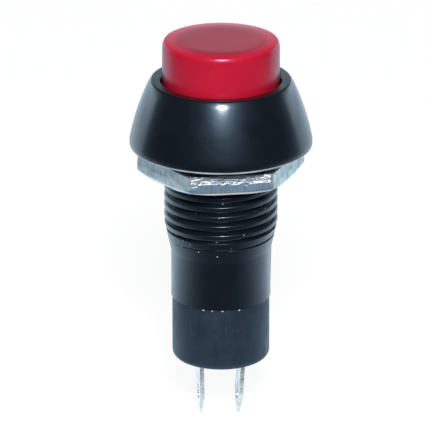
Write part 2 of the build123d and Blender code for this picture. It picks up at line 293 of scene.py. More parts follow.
glossBlack = {
    "colour": (0.0045, 0.0066, 0.0100),
    "shine": (0.45, 0.72, 1.0),
    "coat": 0.6,
    "coatRoughness": 0.17,
    "smears": (0.32, (0.35, 0.7), 4, 0.6),
    "dust": (0.62, 0.66, 0.70),
    "dustTop": (-2.8, -3.2),
    "dustBottom": (-10.6, -10.2),
    "dustPatches": (0.35, (0.42, 0.55), 2),
    "largeGrains": (2.3, 0.19, 0.26),  # scale, size and chance
    "smallGrains": (5.5, 0.2, 0.1),
    "scratches": (9, 0.7, (64, 0, 20), 0.66, (0.5, (0.5, 0.7), 2)),
    "rubbedAndHighlight": (0.045, 0.052, 0.060),
    "rubbedShare": 0.35,
    # painted highlight: the pale line along the lower corner of the foot, where it shows, and its
    # patches
    "footHighlight": (0.62, 0.66, 0.72),
    "footHighlightTop": (0.29, 0.19),
    "footHighlightRadius": (8.7, 8.8),
    "footHighlightPatches": (0.6, (0.35, 0.6), 3),
    "footHighlightLeast": 0.7,
    "roughness": {"plain": 0.33, "smears": 0.10, "wearAndHighlight": 0.15, "grains": 0.4},
    "peel": (1.3, 3, 0.5),
    "finePeel": (14, 2, 0.5),
    "relief": {"peel": 0.007, "fine": 0.0012, "grains": 0.018, "wearAndHighlight": -0.001},
}


def glossBlackFinish():
    look, rough, relief = glossBlack, glossBlack["roughness"], glossBlack["relief"]
    f = Finish("glossBlackMoulding", IOR=1.5, Specular_Tint=look["shine"],
               Coat_Weight=look["coat"], Coat_Roughness=look["coatRoughness"])
    onThread = f.z.ramp(*look["dustTop"]) * f.z.ramp(*look["dustBottom"])
    dusty = onThread * f.patches(*look["dustPatches"])
    grains = (f.specks(*look["largeGrains"]) * dusty).larger(f.specks(*look["smallGrains"]) * dusty)
    wearAndHighlight = f.scratches(*look["scratches"])
    smears = f.patches(*look["smears"])
    base = (wearAndHighlight * look["rubbedShare"]).mix(look["colour"], look["rubbedAndHighlight"])
    # painted highlight: a pale line along the lower corner of the foot, stronger in patches
    radius = (f.x * f.x + f.y * f.y).root()
    footHighlight = f.z.ramp(*look["footHighlightTop"]) * radius.ramp(*look["footHighlightRadius"])
    least = look["footHighlightLeast"]
    rubbedAndHighlight = footHighlight * (least + f.patches(*look["footHighlightPatches"]) * (1 - least))
    f.feed("Base Color", rubbedAndHighlight.mix(grains.mix(base, look["dust"]), look["footHighlight"]))
    plain = rough["plain"] + smears * rough["smears"]
    f.feed("Roughness", plain + wearAndHighlight * rough["wearAndHighlight"] + grains * rough["grains"])
    peel = f.clouds(*look["peel"]) * relief["peel"] + f.clouds(*look["finePeel"]) * relief["fine"]
    return f.bumps(peel + grains * relief["grains"] + wearAndHighlight * relief["wearAndHighlight"])


mattBlack = {
    "colour": (0.0165, 0.0245, 0.0390),
    "shine": (0.50, 0.76, 1.0),
    "mottle": (0.8, (0.35, 0.7), 4, 0.6),
    "mottleShare": 0.5,
    "mottleGain": 1.7,
    "grain": (22, 3, 0.6),
    "hair": (7, 0.45, (12, 8, 0), 0.67, (0.45, (0.48, 0.66), 2)),
    "crossHair": (8, 0.5, (70, 0, 35), 0.69, (0.6, (0.5, 0.7), 2)),
    "scuffed": (0.085, 0.105, 0.125),
    "scuffedShare": 0.55,
    "roughness": {"plain": 0.40, "mottle": 0.10, "fine": 0.08, "marks": -0.08},
    "relief": {"fine": 0.0072, "mottle": 0.0048, "marks": -0.006},
}


def mattBlackFinish():
    look, rough, relief = mattBlack, mattBlack["roughness"], mattBlack["relief"]
    f = Finish("mattBlackMoulding", IOR=1.58, Specular_Tint=look["shine"])
    mottle = f.patches(*look["mottle"])
    fine = f.clouds(*look["grain"])
    marks = f.scratches(*look["hair"]).larger(f.scratches(*look["crossHair"]))
    paler = tuple(look["mottleGain"] * c for c in look["colour"])
    base = (mottle * look["mottleShare"]).mix(look["colour"], paler)
    f.feed("Base Color", (marks * look["scuffedShare"]).mix(base, look["scuffed"]))
    plain = rough["plain"] + mottle * rough["mottle"]
    f.feed("Roughness", plain + fine * rough["fine"] + marks * rough["marks"])
    return f.bumps(fine * relief["fine"] + mottle * relief["mottle"] + marks * relief["marks"])


flashLook = {
    "colour": (0.58, 0.62, 0.66),
    "dark": (0.03, 0.04, 0.05),
    "pale": (3.1, (0.33, 0.5), 3, 0.6),
    "grain": (9, 3),
    "roughness": {"plain": 0.35, "pale": 0.2},
    "relief": 0.03,
}


def flashFinish():
    look, rough = flashLook, flashLook["roughness"]
    f = Finish("whitenedFlash", IOR=1.5)
    pale = f.patches(*look["pale"])
    f.feed("Base Color", pale.mix(look["dark"], look["colour"]))
    f.feed("Roughness", rough["plain"] + pale * rough["pale"])
    return f.bumps(f.clouds(*look["grain"]) * look["relief"])


glossRed = {
    "colour": (0.600, 0.0095, 0.0360),
    "deep": (0.530, 0.0075, 0.0300),
    "shine": (0.54, 0.60, 1.0),
    "cloud": (0.25, (0.3, 0.75), 3, 0.5),
    "grain": (20, 2, 0.5),
    "swell": (0.9, 3),
    # painted light: a brighter red band round the rim of the top, and where it runs
    "rim": (0.86, 0.014, 0.060),
    "rimOutside": (10.86, 10.9),
    "rimInside": (10.99, 10.96),
    "onTop": (10.82, 10.92),
    "hair": (8, 0.5, (80, 15, 30), 0.68, (0.4, (0.5, 0.68), 2)),
    "scratch": (0.66, 0.10, 0.13),
    "scratchShare": 0.35,
    "roughness": {"plain": 0.28, "cloud": 0.06, "hair": 0.15, "fine": 0.03, "onTop": -0.15},
    "relief": {"swell": 0.0021, "fine": 0.0007, "hair": -0.00084},
}


def glossRedFinish():
    look, rough, relief = glossRed, glossRed["roughness"], glossRed["relief"]
    f = Finish("glossRedMoulding", IOR=1.5, Specular_Tint=look["shine"])
    cloud = f.patches(*look["cloud"])
    fine = f.clouds(*look["grain"])
    hair = f.scratches(*look["hair"])
    onTop = f.z.ramp(*look["onTop"])
    # painted light: a brighter red band round the rim of the top
    rim = f.z.ramp(*look["rimOutside"]) * f.z.ramp(*look["rimInside"])
    base = rim.mix(cloud.mix(look["deep"], look["colour"]), look["rim"])
    f.feed("Base Color", (hair * look["scratchShare"]).mix(base, look["scratch"]))
    plain = rough["plain"] + cloud * rough["cloud"] + hair * rough["hair"]
    f.feed("Roughness", plain + fine * rough["fine"] + onTop * rough["onTop"])
    swell = f.clouds(*look["swell"]) * relief["swell"]
    return f.bumps(swell + fine * relief["fine"] + hair * relief["hair"])


zincPlate = {
    "sheared": (0.72, 0.78, 0.78),
    "front": (0.53, 0.73, 0.93),
    "frontLow": (0.35, 0.65),
    "frontFace": (6.85, 7.0),  # the side that was broken off the strip: its distance and its ends
    "frontEnd": (4.15, 3.95),
    # painted highlight on the lower lip: a near-white colour, where it starts, and how much less
    # metallic it is
    "lip": (0.94, 0.96, 0.98),
    "lipTop": (0.35, 0.25),
    "lipHighlightShare": 0.6,
    "broken": (0.86, 0.93, 1.0),
    "brokenShare": 0.9,
    "breakLine": 1.2,
    "breakFade": 0.05,
    "streaks": (7, 0.5),
    "coarse": (2.2, 0.25, 2, 0.5),
    "ledges": (1.1, 5.0),
    "blotch": (1.1, (0.38, 0.66), 4, 0.62),
    "grain": (2.5, 4, 0.6),
    "grime": (0.20, 0.25, 0.30),
    "grimeStreaks": (0.45, 0.75),
    "grimeShare": {"plain": 0.25, "front": 0.3, "blotch": 0.25},
    "roughness": {"plain": 0.42, "streaks": 0.18, "blotch": 0.10, "torn": -0.10, "lip": -0.22},
    "relief": {"streaks": 0.0175, "coarse": 0.0175, "ledges": 0.105, "grain": 0.0105},
}


def zincPlateFinish(nutBottom):
    look = zincPlate
    rough, relief, grime = look["roughness"], look["relief"], look["grimeShare"]
    f = Finish("zincPlatedSteel", Metallic=1.0)
    height = f.z - nutBottom
    streaks = f.streaks(*look["streaks"])
    blotch = f.patches(*look["blotch"])
    # the broken side faces along the turn of the nut
    turn = radians(nutSize["turn"])
    facing = f.x * sin(turn) - f.y * cos(turn)
    along = f.x * cos(turn) + f.y * sin(turn)
    onFront = facing.ramp(*look["frontFace"]) * abs(along).ramp(*look["frontEnd"])
    start, fade = look["breakLine"], look["breakFade"]
    torn = height.ramp(start - fade, start + fade) * onFront
    # painted highlight: the lower lip is painted near white and made less metallic
    lip = height.ramp(*look["lipTop"])
    dirt = streaks.ramp(*look["grimeStreaks"]) * (grime["plain"] + onFront * grime["front"])
    dirt = dirt + blotch * grime["blotch"]
    clean = (onFront * height.ramp(*look["frontLow"])).mix(look["sheared"], look["front"])
    wearAndHighlight = lip.mix(dirt.mix(clean, look["grime"]), look["lip"])
    f.feed("Base Color", (torn * look["brokenShare"]).mix(wearAndHighlight, look["broken"]))
    f.feed("Metallic", 1 - lip * look["lipHighlightShare"])
    plain = rough["plain"] + streaks * rough["streaks"] + blotch * rough["blotch"]
    f.feed("Roughness", plain + torn * rough["torn"] + lip * rough["lip"])
    drawn = streaks * relief["streaks"] + f.streaks(*look["coarse"]) * relief["coarse"]
    ledges = f.streaks(*look["ledges"]) * torn * relief["ledges"]
    return f.bumps(drawn + ledges + f.clouds(*look["grain"]) * relief["grain"])


tinPlate = {
    "bright": (0.97, 0.90, 0.84),
    "dull": (0.64, 0.61, 0.57),
    "blotch": (1.3, (0.36, 0.66), 4, 0.65),
    "spotScale": 2.4,
    "spots": (0.30, 0.12),
    "streaks": (9, 0.8),
    "dullShare": {"blotch": 0.7, "spots": 0.3},
    "roughness": {"plain": 0.20, "blotch": 0.16, "streaks": 0.12},
    "relief": {"streaks": 0.012, "blotch": 0.012, "spots": 0.009},
}


def tinPlateFinish():
    look = tinPlate
    rough, relief, share = look["roughness"], look["relief"], look["dullShare"]
    f = Finish("tinPlatedBrass", Metallic=1.0)
    blotch = f.patches(*look["blotch"])
    spots = f.cells(look["spotScale"]).ramp(*look["spots"])
    streaks = f.streaks(*look["streaks"])
    dull = blotch * share["blotch"] + spots * share["spots"]
    f.feed("Base Color", dull.mix(look["bright"], look["dull"]))
    f.feed("Roughness", rough["plain"] + blotch * rough["blotch"] + streaks * rough["streaks"])
    drawn = streaks * relief["streaks"]
    return f.bumps(drawn + blotch * relief["blotch"] + spots * relief["spots"])


innerMetals = {
    "blotch": (1.5, (0.35, 0.7), 4, 0.6),
    "streaks": (8, 1.2),
    "streakRoughness": 0.15,
    "relief": 0.01,
    "springSteel": {"colour": (0.58, 0.59, 0.60), "dull": (0.40, 0.41, 0.42), "roughness": 0.22},
    "contactBrass": {"colour": (0.78, 0.60, 0.28), "dull": (0.56, 0.42, 0.20), "roughness": 0.24},
    "contactSilver": {"colour": (0.85, 0.85, 0.83), "dull": (0.60, 0.60, 0.58), "roughness": 0.22},
}


def metalFinish(name):
    look, metal = innerMetals, innerMetals[name]
    f = Finish(name, Metallic=1.0)
    streaks = f.streaks(*look["streaks"])
    f.feed("Base Color", f.patches(*look["blotch"]).mix(metal["colour"], metal["dull"]))
    f.feed("Roughness", metal["roughness"] + streaks * look["streakRoughness"])
    return f.bumps(streaks * look["relief"])


nylonLook = {
    "colour": (0.80, 0.79, 0.73),
    "deep": (0.70, 0.68, 0.60),
    "milkiness": 0.15,
    "milkDepth": 0.001,
    "mottle": (0.9, (0.3, 0.75), 3, 0.5),
    "grain": (8, 2),
    "roughness": {"plain": 0.38, "mottle": 0.1},
    "relief": 0.01,
}


def nylonFinish():
    look, rough = nylonLook, nylonLook["roughness"]
    f = Finish("naturalNylon", IOR=1.53,
               Subsurface_Weight=look["milkiness"], Subsurface_Scale=look["milkDepth"])
    mottle = f.patches(*look["mottle"])
    f.feed("Base Color", mottle.mix(look["colour"], look["deep"]))
    f.feed("Roughness", rough["plain"] + mottle * rough["mottle"])
    return f.bumps(f.clouds(*look["grain"]) * look["relief"])


# housing: bezel, helical thread and upper body in one closed skin

housingSize = {
    "footLand": 0.7,
    "footLean": 11,
    "flankLean": 24,
    "shoulderLean": 34,
    "shoulderRound": 4.1,
    "footRound": 0.25,
    "seatInner": 8.55,
    "relief": 0.3,
    "rimRound": 0.25,
    "mouthChamfer": 0.15,
    "mouthGap": 0.15,
    "threadRadius": 5.7,
    "threadPitch": 1.0,
    "threadDepth": 0.5,
    "threadAngle": 60,
    "crestRound": 0.09,
    "rootRound": 0.16,
    "rootSoftness": 0.7,
    "grooveTop": -0.6,
    "grooveFade": 0.5,
    "grooveStart": -10.22,
    "grooveEnd": -10.95,
    "grooveEndFade": 1.5,
    "fullCrestEnd": -7.9,
    "fadeEnd": -9.45,
    "fadeDepth": 0.32,
    "threadTop": -0.45,
    "threadEnd": -11.15,
    "rowsPerPitch": 18,
    "bodyRadius": 5.0,
    "bodyWall": 1.0,
    "lip": 0.02,
    "lipHeight": 0.6,
    "mouthFloor": 1.8,
    "pocketRadius": 3.9,
    "guideRadius": 2.075,
    "guideTop": -4.4,
    "guideBottom": -6.6,
}


def threadRadiusAt(offset, s):
    # distance from the axis at an offset along Z from the middle of the groove
    root, full, soft = s["threadRadius"] - s["threadDepth"], s["threadRadius"], s["crestRound"]
    flank = root + abs(offset) / tan(radians(s["threadAngle"] / 2))
    blend = partWay(flank, full + soft, full - soft)
    crest = full + (flank - full) * blend - soft * blend * (1 - blend)
    # the root is rounded too
    over = (crest - root) / s["rootRound"]
    return root + s["rootRound"] * 0.5 * (over + hypot(over, s["rootSoftness"]))


def crestLimitAt(height, s):
    # the last turns are lower, and die out into the plain body
    full, faded = s["threadRadius"], s["threadRadius"] - s["fadeDepth"]
    if height > s["fadeEnd"]:
        return full + (faded - full) * partWay(height, s["fullCrestEnd"], s["fadeEnd"])
    return faded + (s["bodyRadius"] - faded) * partWay(height, s["fadeEnd"], s["threadEnd"])


def housingThread(bm, s):
    # one upright line of thread profile, spun once round while it climbs one pitch
    pitch, rows = s["threadPitch"], s["rowsPerPitch"]
    spare = 3  # turns more than the thread has, trimmed off at its ends
    turns = int((s["grooveTop"] - s["threadEnd"]) / pitch) + spare
    lowest = s["grooveStart"] - spare / 2 * pitch
    line = []
    for i in range(turns * rows + 1):
        height = lowest + i * pitch / rows
        offset = (height - s["grooveStart"] + pitch / 2) % pitch - pitch / 2
        line.append(bm.verts.new((threadRadiusAt(offset, s) * mm, 0, height * mm)))
    edges = [bm.edges.new(pair) for pair in zip(line, line[1:])]
    bmesh.ops.spin(bm, geom=line + edges, axis=(0, 0, 1), cent=(0, 0, 0), angle=2 * pi,
                   steps=roundSteps, dvec=(0, 0, pitch * mm / roundSteps),
                   use_merge=False, use_duplicate=False)
    bmesh.ops.remove_doubles(bm, verts=bm.verts, dist=smallGap)
    cutOff(bm, s["threadTop"], above=True, near=0.0005)
    cutOff(bm, s["threadEnd"], above=False, near=0.0005)
    for v in bm.verts:
        radius, height = hypot(v.co.x, v.co.y) / mm, v.co.z / mm
        opened = partWay(height, s["grooveTop"], s["grooveTop"] - s["grooveFade"])
        opened *= partWay(height, s["grooveEnd"], s["grooveEnd"] + s["grooveEndFade"])
        radius = s["threadRadius"] - (s["threadRadius"] - radius) * opened
        setRadius(v, max(min(radius, crestLimitAt(height, s)), s["bodyRadius"]))
    ends = [e for e in bm.edges if e.is_boundary]
    middle = (s["threadTop"] + s["threadEnd"]) / 2 * mm
    topRing = [e for e in ends if e.verts[0].co.z > middle]
    return topRing, [e for e in ends if e.verts[0].co.z < middle]


def makeHousing(material):
    s = housingSize
    low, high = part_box("housing")
    seam, top, outer = low.z / mm, high.z / mm, high.x / mm
    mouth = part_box("button_cap")[1].x / mm + s["mouthGap"]
    chamber = s["bodyRadius"] - s["bodyWall"]
    lip = s["bodyRadius"] + s["lip"]
    bm = bmesh.new()
    topRing, bottomRing = housingThread(bm, s)
    profile = [
        (s["bodyRadius"], seam + s["lipHeight"]),
        (lip, seam + s["lipHeight"] / 2),
        (lip, seam),
        (chamber, seam),
        (chamber, s["guideBottom"]),
        (s["guideRadius"], s["guideBottom"]),
        (s["guideRadius"], s["guideTop"]),
        (s["pocketRadius"], s["guideTop"]),
        (s["pocketRadius"], s["mouthFloor"]),
        (mouth, s["mouthFloor"]),
        (mouth, top - s["mouthChamfer"]),
        (mouth + s["mouthChamfer"], top),
    ]
    # rim, shoulder and flank are three arcs, each meeting the next at one lean
    foot, flank, shoulder = [radians(s[k]) for k in ("footLean", "flankLean", "shoulderLean")]
    rimDrop = s["rimRound"] * (1 - sin(shoulder))
    shoulderDrop = s["shoulderRound"] * (sin(shoulder) - sin(flank))
    flankRound = (top - s["footLand"] - rimDrop - shoulderDrop) / (sin(flank) - sin(foot))
    flankCentre = (outer - flankRound * cos(foot), s["footLand"] - flankRound * sin(foot))
    shoulderCentre = nextCentre(flankCentre, flankRound, s["shoulderRound"], flank)
    rimCentre = nextCentre(shoulderCentre, s["shoulderRound"], s["rimRound"], shoulder)
    profile += roundCorner(rimCentre, s["rimRound"], 90, s["shoulderLean"], 8)
    profile += roundCorner(
        shoulderCentre, s["shoulderRound"], s["shoulderLean"], s["flankLean"], 6
    )[1:]
    profile += roundCorner(flankCentre, flankRound, s["flankLean"], s["footLean"], 12)[1:]
    profile += roundCorner((outer - s["footRound"], s["footRound"]), s["footRound"], 0, -90, 8)
    # only the outer ring of the underside seats on a panel
    seat, relief = s["seatInner"], s["relief"]
    profile += [(seat, 0), (seat, relief), (s["threadRadius"], relief)]
    lastRing = growProfile(bm, bottomRing, profile)
    bmesh.ops.bridge_loops(bm, edges=lastRing + topRing)
    shell = newPiece("housingShell", bm, material)
    return standFor(shell, "switch_body", "black_gloss_plastic", "housing")


# lower base with its spigot, pillars and terminal slots

baseSize = {
    "edgeRound": 0.7,
    "edgeStart": -80,
    "wall": 0.9,
    "floor": 1.5,
    "spigotGap": 0.03,
    "spigotWall": 0.7,
    "pillarWidth": 1.6,
    "pillarDepth": 2.6,
    "slotGap": 0.02,
    "topRound": 0.08,
}


def rectangleRing(bm, centreX, width, depth, height):
    stretched = Matrix.Diagonal((width * mm, depth * mm, 1, 1))
    placed = Matrix.Translation((centreX * mm, 0, height * mm)) @ stretched
    made = bmesh.ops.create_grid(bm, x_segments=1, y_segments=1, size=0.5, matrix=placed)
    face = made["verts"][0].link_faces[0]
    ring = list(face.edges)
    bmesh.ops.delete(bm, geom=[face], context="FACES_ONLY")
    return ring


def makeBase(material):
    s = baseSize
    low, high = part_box("terminal_base")
    bottom, deck, outer = low.z / mm, high.z / mm, high.x / mm
    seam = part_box("housing")[0].z / mm
    floor = bottom + s["floor"]
    spigot = housingSize["bodyRadius"] - housingSize["bodyWall"] - s["spigotGap"]
    cup = min(outer - s["wall"], spigot - s["spigotWall"])
    mounts = frame["record"]["mounts"]
    eyes = [m["pos_m"][0] / mm for m in mounts if m["name"].startswith("solder_eye")]
    thick, wide = [terminalSize[k] + 2 * s["slotGap"] for k in ("thickness", "width")]
    bm = bmesh.new()
    bottomRing = circleRing(bm, outer - s["edgeRound"], bottom)
    edgeCentre = (outer - s["edgeRound"], bottom + s["edgeRound"])
    profile = roundCorner(edgeCentre, s["edgeRound"], s["edgeStart"], 0, 9)
    profile += roundCorner((outer - s["topRound"], seam - s["topRound"]), s["topRound"], 0, 90, 3)
    profile += [(spigot, seam), (spigot, deck), (cup, deck), (cup, floor)]
    floorRing = growProfile(bm, bottomRing, profile)
    slots = [rectangleRing(bm, x, thick, wide, bottom) for x in eyes]
    pillars = [rectangleRing(bm, x, s["pillarWidth"], s["pillarDepth"], floor) for x in eyes]
    fillRing(bm, bottomRing, *slots)
    fillRing(bm, floorRing, *pillars)
    for slot, pillar in zip(slots, pillars):
        tops = []
        for ring in (slot, pillar):
            fresh, grown = extrudeRing(bm, ring)
            for v in fresh:
                v.co.z = deck * mm
            tops += grown
        fillRing(bm, tops)
    piece = newPiece("baseCup", bm, material)
    return standFor(piece, "switch_body", "black_matte_plastic", "terminal_base")


flashSize = {
    "hidden": 0.03,
    "thin": 0.01,
    "reach": 0.11,
    "drop": 0.15,
    "depth": 0.26,
    "steps": 720,
    "ragged": {"plain": 0.75, "noise": 1.2, "scale": 5.0, "seed": 8.4},
    # the tags left by the trimming: bearing from the front, half width, and share of the full reach
    "tags": (
        (-41, 1.4, 0.9), (-38.5, 0.7, 0.5), (-21, 1.9, 1.0), (-9, 3.5, 0.55), (2, 1.8, 1.0),
        (7.5, 3.5, 0.5), (15, 3, 0.45), (22, 1.5, 0.85), (64, 3, 0.8), (118, 2, 0.9),
        (151, 4, 0.6), (204, 3, 0.9), (239, 2, 0.6),
    ),
}


def makeSeamFlash(material):
    # a ragged burr of moulding flash where the base meets the housing
    s, ragged = flashSize, flashSize["ragged"]
    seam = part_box("housing")[0].z / mm
    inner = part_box("terminal_base")[1].x / mm - s["hidden"]
    back = inner - s["thin"]
    bm = bmesh.new()
    corners = ((back, seam - s["thin"]), (inner, seam - s["hidden"]), (back, seam - s["depth"]))
    line = [bm.verts.new((radius * mm, 0, height * mm)) for radius, height in corners]
    edges = [bm.edges.new((line[i - 1], line[i])) for i in (1, 2, 0)]
    bmesh.ops.spin(bm, geom=line + edges, axis=(0, 0, 1), cent=(0, 0, 0), angle=2 * pi,
                   steps=s["steps"], use_merge=True)
    for v in bm.verts:
        if hypot(v.co.x, v.co.y) / mm < inner - s["thin"] / 2:
            continue
        angle = atan2(v.co.y, v.co.x)
        reach = 0
        for bearing, halfWidth, share in s["tags"]:
            gap = abs((degrees(angle) + 90 - bearing + 180) % 360 - 180)
            reach = max(reach, share * partWay(gap, halfWidth, halfWidth / 2))
        waves = ringNoise(angle, 0, ragged["scale"], ragged["seed"])
        reach = partWay(reach * (ragged["plain"] + ragged["noise"] * waves), 0, 1)
        setRadius(v, inner + s["reach"] * reach)
        v.co.z -= s["drop"] * mm * reach
    return standFor(newPiece("seamFlash", bm, material, 60), "switch_body", "black_matte_plastic")


# panel nut, punched from plate

nutSize = {
    "acrossFlats": 14.65,
    "turn": 8,
    "boreGap": 0.08,
    "boreChamfer": 0.35,
    "cornerAngle": 18,
    "cutsPerSide": 60,
    "lipRound": 0.36,
    "lipSteps": 4,
    "shearedRows": (0.35, 0.7, 1),  # shares of the way from the lip to the break
    "shearedFoot": 0.1,
    "brokenRows": (0.3, 0.55, 0.8),
    "brokenLean": 4,
    "brokenFoot": 0.05,
    "breakStep": 0.07,
    "breakHalf": 0.03,
    "breakWaves": ((0.352, 0, 0.75, 2.3), (0.22, 0, 3.4, 6.1)),  # size, climb, scale and seed
    "tornWaves": ((0.05, 4, 5.0, 1.7), (0.03, 9, 11.0, 4.9)),
    "tornSides": (1.0, 0.12, 0.3, 0.5, 0.3, 0.12),  # how torn each side is, the front one first
    "cornerSpan": 0.18,
    "topRound": 0.07,
    "topDrop": 0.05,
}


def makeNut(material):
    s = nutSize
    low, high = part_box("panel_nut")
    bottom, top = low.z / mm, high.z / mm
    bore = housingSize["threadRadius"] + s["boreGap"]
    mouth = bore + s["boreChamfer"]
    flat = s["acrossFlats"] / 2
    firstSide = radians(s["turn"] + 30)
    lean = (top - bottom - zincPlate["breakLine"]) * tan(radians(s["brokenLean"]))
    shoulder = top - s["topDrop"]

    def sideOf(angle):
        # number of the side at an angle, and the way that it faces
        side = round((angle - firstSide) / (pi / 3))
        return side, side * pi / 3 + firstSide

    def place(v, insetOf, heightOf):
        # pulls a vertex in from the outline, to a height that may vary along it
        angle = atan2(v.co.y, v.co.x)
        facing = sideOf(angle)[1]
        reach = flat - insetOf(angle)
        along = tan(angle - facing) * reach
        v.co = Matrix.Rotation(facing, 4, "Z") @ Vector((reach * mm, along * mm, 0))
        v.co.z = heightOf(angle, hypot(reach, along)) * mm

    def moveRing(ring, insetOf, heightOf):
        fresh, grown = extrudeRing(bm, ring)
        for v in fresh:
            place(v, insetOf, heightOf)
        return grown

    def inset(distance):
        return lambda angle: distance

    def level(height):
        return lambda angle, radius: height

    def lowerEdge(lift):
        # the lower face is cut back towards the corners
        rise = tan(radians(s["cornerAngle"]))
        return lambda angle, radius: bottom + lift + max(0, radius - flat) * rise

    def between(lower, upper, share):
        return lambda angle, radius: lower(angle, radius) * (1 - share) + upper(angle, radius) * share

    def waves(rows, angle, share=0):
        return sum(size * ringNoise(angle, share * climb, scale, seed)
                   for size, climb, scale, seed in rows)

    def breakLine(offset):
        middle = bottom + zincPlate["breakLine"] + offset
        return lambda angle, radius: middle + waves(s["breakWaves"], angle)

    def tornShare(angle):
        # the broken zone is deepest along the middle of a side and dies out at the corners
        side, facing = sideOf(angle)
        away = abs(angle - facing) / (pi / 6)
        return s["tornSides"][(side + 2) % 6] * partWay(away, 1, 1 - s["cornerSpan"])

    def brokenInset(share, extra=0):
        def insetOf(angle):
            torn = (s["breakStep"] + waves(s["tornWaves"], angle, share)) * tornShare(angle)
            return torn + lean * share + extra
        return insetOf

    bm = bmesh.new()
    turned = Matrix.Rotation(radians(s["turn"] + 90), 4, "Z")
    bmesh.ops.create_circle(bm, segments=6, radius=flat * mm / cos(pi / 6), matrix=turned)
    bmesh.ops.subdivide_edges(bm, edges=bm.edges[:], cuts=s["cutsPerSide"])
    ring = bm.edges[:]
    for v in bm.verts:
        place(v, inset(s["lipRound"]), lowerEdge(0))
    for i in range(1, s["lipSteps"] + 1):
        a = pi / 2 * i / s["lipSteps"]
        pulledIn, lifted = s["lipRound"] * (1 - sin(a)), s["lipRound"] * (1 - cos(a))
        ring = moveRing(ring, inset(pulledIn), lowerEdge(lifted))
    for share in s["shearedRows"]:
        rising = between(lowerEdge(s["shearedFoot"]), breakLine(-s["breakHalf"]), share)
        ring = moveRing(ring, inset(0), rising)
    ring = moveRing(ring, brokenInset(s["brokenFoot"]), breakLine(s["breakHalf"]))
    for share in s["brokenRows"]:
        ring = moveRing(ring, brokenInset(share), between(breakLine(0), level(shoulder), share))
    ring = moveRing(ring, brokenInset(1), level(shoulder))
    ring = moveRing(ring, brokenInset(1, s["topRound"]), level(top))
    # the bore, chamfered at both ends, then out again to where the outline began
    chamfer = s["boreChamfer"]
    through = [(mouth, top), (bore, top - chamfer), (bore, bottom + chamfer), (mouth, bottom)]
    ring = growProfile(bm, ring, through)
    moveRing(ring, inset(s["lipRound"]), lowerEdge(0))
    bmesh.ops.remove_doubles(bm, verts=bm.verts, dist=smallGap)
    return standFor(newPiece("panelNut", bm, material, 38), "nut", "zinc_plate", "panel_nut")


capSize = {
    "centreRing": 0.55,  # share of the radius
    "crownRound": 28,
    "crownLean": 85.5,
    "neckRound": 0.08,
    "edgeRound": 1.0,
    "edgeLean": 32,
    "flare": 0.05,
    "skirtRound": 0.12,
    "sideWall": 1.0,
    "topWall": 1.3,
    "headRadius": 1.6,
    "bossGap": 0.02,
    "bossWall": 1.0,
    "flangeTop": 5.4,
}


def makeCap(material):
    s = capSize
    low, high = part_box("button_cap")
    skirt, top, outer = low.z / mm, high.z / mm, high.x / mm
    inner = outer - s["sideWall"]
    ceiling = top - s["topWall"]
    socket = s["headRadius"] + s["bossGap"]
    boss = socket + s["bossWall"]
    bm = bmesh.new()
    ring = circleRing(bm, outer * s["centreRing"], top)
    bmesh.ops.pointmerge(bm, verts=list(extrudeRing(bm, ring)[0]), merge_co=(0, 0, top * mm))
    # a faint crown, a tight shoulder and a softer edge, each meeting the next at one lean
    edge, crown = radians(s["edgeLean"]), radians(s["crownLean"])
    crownDrop = s["crownRound"] * (1 - sin(crown))
    neckDrop = s["neckRound"] * (sin(crown) - sin(edge))
    edgeCentre = (outer - s["edgeRound"], top - crownDrop - neckDrop - s["edgeRound"] * sin(edge))
    neckCentre = nextCentre(edgeCentre, s["edgeRound"], s["neckRound"], edge)
    crownCentre = nextCentre(neckCentre, s["neckRound"], s["crownRound"], crown)
    skirtCentre = (outer + s["flare"] - s["skirtRound"], skirt + s["skirtRound"])
    profile = roundCorner(crownCentre, s["crownRound"], 90, s["crownLean"], 8)
    profile += roundCorner(neckCentre, s["neckRound"], s["crownLean"], s["edgeLean"], 6)[1:]
    profile += roundCorner(edgeCentre, s["edgeRound"], s["edgeLean"], 0, 8)[1:]
    profile += roundCorner(skirtCentre, s["skirtRound"], 0, -90, 3)
    profile += [(inner, skirt), (inner, ceiling), (boss, ceiling)]
    profile += [(boss, s["flangeTop"]), (socket, s["flangeTop"]), (socket, ceiling)]
    fillRing(bm, growProfile(bm, ring, profile))
    return standFor(newPiece("capShell", bm, material), "button", "red_plastic", "button_cap")


def softenedCopy(node, name, material, edgeRound, flatAngle=1.5, crispAngle=40, sharpAngle=50):
    # a merged copy of the node's mesh, with flat faces joined up and its edges rounded
    bm = bmesh.new()
    bm.from_mesh(frame["nodes"][node].data)
    bmesh.ops.remove_doubles(bm, verts=bm.verts, dist=smallGap)
    bmesh.ops.dissolve_limit(bm, angle_limit=radians(flatAngle), verts=bm.verts, edges=bm.edges,
                             use_dissolve_boundaries=False)
    crisp = [e for e in bm.edges if e.is_manifold and e.calc_face_angle(0) > radians(crispAngle)]
    bmesh.ops.bevel(bm, geom=crisp, offset=edgeRound * mm, offset_type="OFFSET", segments=2,
                    profile=0.5, affect="EDGES", material=-1, clamp_overlap=True)
    return newPiece(name, bm, material, sharpAngle)


terminalSize = {
    "thickness": 0.45,
    "width": 2.0,
    "edgeRound": 0.05,
    "tipLength": 2.0,
    "tipShare": 0.5,
}


def narrowTip(blade):
    # the blade gets thinner towards its lower end
    s = terminalSize
    verts = blade.data.vertices
    bottom = min(v.co.z for v in verts) / mm
    start = bottom + s["tipLength"]
    tip = [v.co.x for v in verts if v.co.z / mm < start]
    middle = (min(tip) + max(tip)) / 2
    for v in verts:
        scale = 1 - (1 - s["tipShare"]) * partWay(v.co.z / mm, start, bottom)
        v.co.x = middle + (v.co.x - middle) * scale


springSize = {
    "returnCoil": {"radius": 3.1, "wire": 0.3, "turns": 3.5},
    "contactCoil": {"radius": 1.8, "wire": 0.2, "turns": 2.0},
    "stepsPerTurn": 40,
    "wireSides": 14,
    "overrun": 0.02,
}


